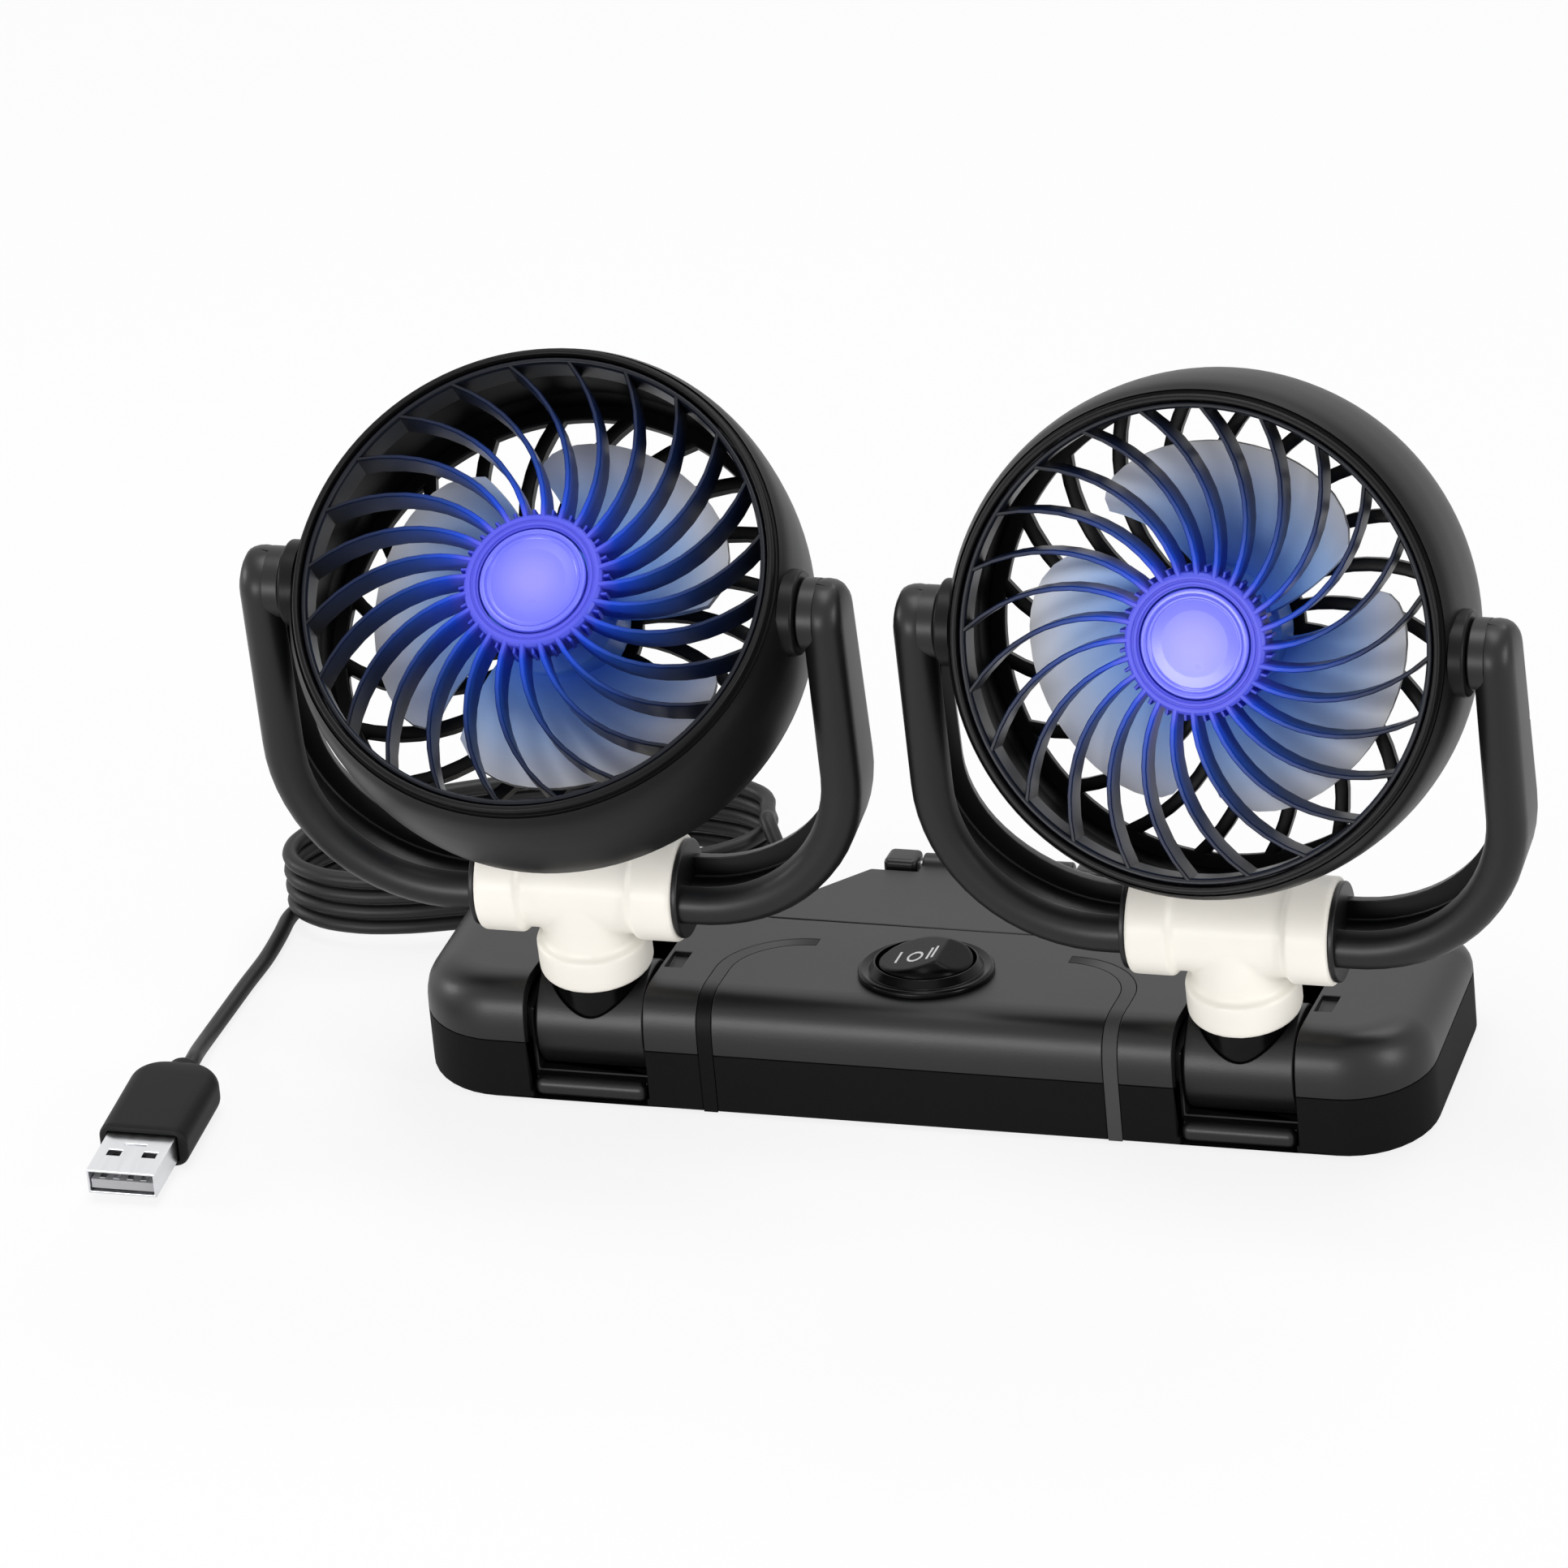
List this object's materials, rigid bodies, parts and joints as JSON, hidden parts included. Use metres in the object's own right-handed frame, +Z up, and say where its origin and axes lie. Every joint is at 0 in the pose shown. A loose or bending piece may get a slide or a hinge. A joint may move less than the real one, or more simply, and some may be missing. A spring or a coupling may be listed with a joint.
{
  "type": "dual head desk and dashboard fan",
  "caption": "Low base with a rocker switch carrying tilting, swivelling caged fan heads on forked yokes, with a coiled lead and USB plug.",
  "frame": {"origin": "centre of the base's underside, on the surface that it stands on", "axes": "+X to the right along the base, +Y to the rear, +Z up; -Y is the front, where the switch and both fan faces look"},
  "size_m": [0.2412, 0.1252, 0.1371],
  "materials": {
    "satin_black": "satin moulded plastic",
    "matt_black": "fine matt texture",
    "gloss_black": "glossy",
    "deep_blue_black": "glossy, blue toned",
    "hub_blue": "glossy, blue violet",
    "blade_grey": "satin",
    "cream_plastic": "semi-gloss",
    "rubber": "matt",
    "cable_black": "satin jacket",
    "steel": "plated",
    "bright_steel": "bright nickel",
    "board_green": "solder mask",
    "tongue_white": "plain"
  },
  "bodies": {
    "base": {"base_top_shell": "satin_black", "base_bottom_tray": "matt_black", "base_grip_pad": "rubber", "base_screw_1": "steel", "base_screw_2": "steel", "base_screw_3": "steel", "base_screw_4": "steel", "speed_board": "board_green", "switch_housing": "gloss_black", "rear_flap_pin": "steel", "cable_strain_relief": "cable_black", "cable_tail": "cable_black", "cable_coil": "cable_black", "cable_lead": "cable_black", "usb_plug_grip": "cable_black", "usb_plug_shell": "bright_steel", "usb_plug_tongue": "tongue_white", "left_knuckle_cradle": "satin_black", "left_knuckle_pin": "steel", "right_knuckle_cradle": "satin_black", "right_knuckle_pin": "steel"},
    "rocker": {"switch_rocker": "gloss_black"},
    "flap": {"rear_flap": "satin_black"},
    "left_knuckle": {"left_knuckle_barrel": "satin_black", "left_swivel_post": "satin_black"},
    "left_yoke": {"left_tee": "cream_plastic", "left_yoke_arm_left": "satin_black", "left_yoke_arm_right": "satin_black", "left_tilt_pin_left": "steel", "left_tilt_pin_right": "steel"},
    "left_head": {"left_head_housing": "satin_black", "left_front_grille": "deep_blue_black", "left_hub_cap": "hub_blue", "left_rear_grille": "satin_black", "left_motor": "steel"},
    "left_rotor": {"left_impeller": "blade_grey", "left_motor_shaft": "steel"},
    "right_knuckle": {"right_knuckle_barrel": "satin_black", "right_swivel_post": "satin_black"},
    "right_yoke": {"right_tee": "cream_plastic", "right_yoke_arm_left": "satin_black", "right_yoke_arm_right": "satin_black", "right_tilt_pin_left": "steel", "right_tilt_pin_right": "steel"},
    "right_head": {"right_head_housing": "satin_black", "right_front_grille": "deep_blue_black", "right_hub_cap": "hub_blue", "right_rear_grille": "satin_black", "right_motor": "steel"},
    "right_rotor": {"right_impeller": "blade_grey", "right_motor_shaft": "steel"}
  },
  "joints": [
    {"name": "switch_rock", "type": "hinge", "parent": "base", "child": "rocker", "pos_m": [-0.0006, -0.0079, 0.02015], "axis": [0, 0.9914, -0.1305], "range_deg": [0, 20]},
    {"name": "flap_hinge", "type": "hinge", "parent": "base", "child": "flap", "pos_m": [0, 0.03696, 0.01333], "axis": [-1, 0, 0], "range_deg": [0, 110]},
    {"name": "left_knuckle_fold", "type": "hinge", "parent": "base", "child": "left_knuckle", "pos_m": [-0.0559, -0.0135, 0.0118], "axis": [1, 0, 0], "range_deg": [-25, 35]},
    {"name": "left_stem_swivel", "type": "hinge", "parent": "left_knuckle", "child": "left_yoke", "pos_m": [-0.0559, -0.0135, 0.0118], "axis": [0, -0.0941, 0.9956], "range_deg": [-170, 170]},
    {"name": "left_head_tilt", "type": "hinge", "parent": "left_yoke", "child": "left_head", "pos_m": [-0.0559, -0.02145, 0.09592], "axis": [-1, 0, 0], "range_deg": [-95.5, 39.5]},
    {"name": "left_impeller_spin", "type": "hinge", "parent": "left_head", "child": "left_rotor", "pos_m": [-0.0559, -0.02145, 0.09592], "axis": [0, -0.6361, 0.7716], "continuous": true},
    {"name": "right_knuckle_fold", "type": "hinge", "parent": "base", "child": "right_knuckle", "pos_m": [0.0559, -0.0135, 0.0118], "axis": [1, 0, 0], "range_deg": [-25, 35]},
    {"name": "right_stem_swivel", "type": "hinge", "parent": "right_knuckle", "child": "right_yoke", "pos_m": [0.0559, -0.0135, 0.0118], "axis": [0, -0.0941, 0.9956], "range_deg": [-170, 170]},
    {"name": "right_head_tilt", "type": "hinge", "parent": "right_yoke", "child": "right_head", "pos_m": [0.0559, -0.02145, 0.09592], "axis": [-1, 0, 0], "range_deg": [-67, 68]},
    {"name": "right_impeller_spin", "type": "hinge", "parent": "right_head", "child": "right_rotor", "pos_m": [0.0559, -0.02145, 0.09592], "axis": [0, -0.9272, 0.3746], "continuous": true}
  ]
}
